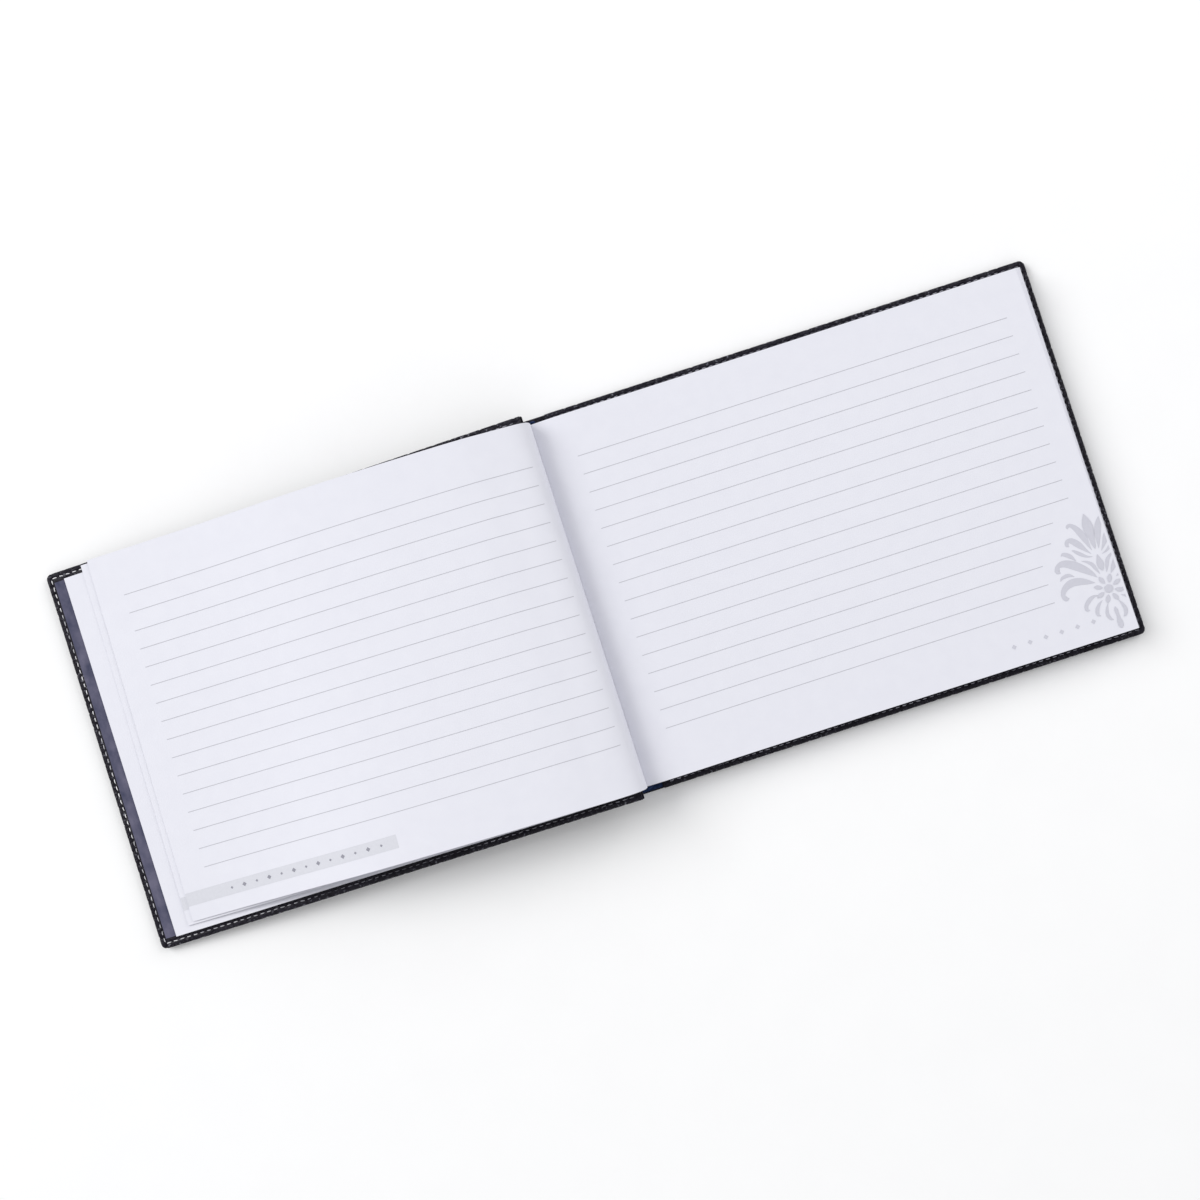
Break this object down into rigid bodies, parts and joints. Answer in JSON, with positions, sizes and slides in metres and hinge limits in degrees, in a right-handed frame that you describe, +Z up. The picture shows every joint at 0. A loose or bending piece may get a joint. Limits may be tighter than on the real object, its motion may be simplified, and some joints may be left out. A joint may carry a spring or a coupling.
{
  "type": "wedding guest book",
  "caption": "Landscape guest book in stitched black leather, lying open near the front, with wide-ruled pages and leather joints so that it closes.",
  "frame": {"origin": "on the surface the book lies on, at the centre of its footprint", "axes": "+X across the spread towards the rear pages, +Y towards the head of the page, +Z up"},
  "size_m": [0.4666, 0.178, 0.0311],
  "materials": {
    "leather": "black grained leather with a soft sheen",
    "grey_board": "uncoated grey board",
    "page_paper": "smooth uncoated white paper with pale grey rules",
    "slate_endpaper": "matte slate-blue endpaper",
    "white_thread": "waxed white sewing thread",
    "navy_band": "woven navy cloth",
    "mull_gauze": "open cotton gauze"
  },
  "bodies": {
    "back_cover": {"back_board": "grey_board", "back_cover_leather": "leather", "back_cover_stitching": "white_thread", "back_flyleaf": "page_paper", "back_joint_leather": "leather", "back_pastedown": "slate_endpaper", "head_band": "navy_band", "kettle_stitch_head": "white_thread", "kettle_stitch_tail": "white_thread", "mull": "mull_gauze", "rear_loose_leaf_1": "page_paper", "rear_loose_leaf_2": "page_paper", "rear_section_1": "page_paper", "rear_section_2": "page_paper", "rear_section_3": "page_paper", "rear_section_4": "page_paper", "rear_section_5": "page_paper", "rear_section_6": "page_paper", "spine_lining": "grey_board", "tail_band": "navy_band"},
    "spine": {"spine_leather": "leather", "spine_board": "grey_board", "front_joint_leather": "leather"},
    "front_cover": {"front_cover_leather": "leather", "front_board": "grey_board", "front_pastedown": "slate_endpaper", "front_cover_stitching": "white_thread"},
    "front_leaves": {"front_flyleaf": "page_paper", "front_second_leaf": "page_paper", "front_top_leaf": "page_paper"},
    "turning_leaf": {"turning_leaf": "page_paper"}
  },
  "joints": [
    {"name": "spine_hinge", "type": "hinge", "parent": "back_cover", "child": "spine", "pos_m": [-0.00218, 0, 0.0004], "axis": [0, 1, 0], "range_deg": [0, 31.6]},
    {"name": "front_cover_hinge", "type": "hinge", "parent": "spine", "child": "front_cover", "pos_m": [-0.00518, 0, 0.01863], "axis": [0, 1, 0], "range_deg": [0, 153]},
    {"name": "front_leaves_turn", "type": "hinge", "parent": "back_cover", "child": "front_leaves", "pos_m": [-0.0019, 0, 0.013], "axis": [0, 1, 0], "range_deg": [0, 180.02], "deforming": ["front_flyleaf", "front_second_leaf", "front_top_leaf"]},
    {"name": "page_turn", "type": "hinge", "parent": "back_cover", "child": "turning_leaf", "pos_m": [-0.0019, 0, 0.013], "axis": [0, 1, 0], "range_deg": [-135, 0], "deforming": ["turning_leaf"]}
  ],
  "couplings": [
    {"joint": "front_cover_hinge", "follows": "spine_hinge", "ratio": 4.841},
    {"joint": "front_leaves_turn", "follows": "spine_hinge", "ratio": 5.6962}
  ]
}
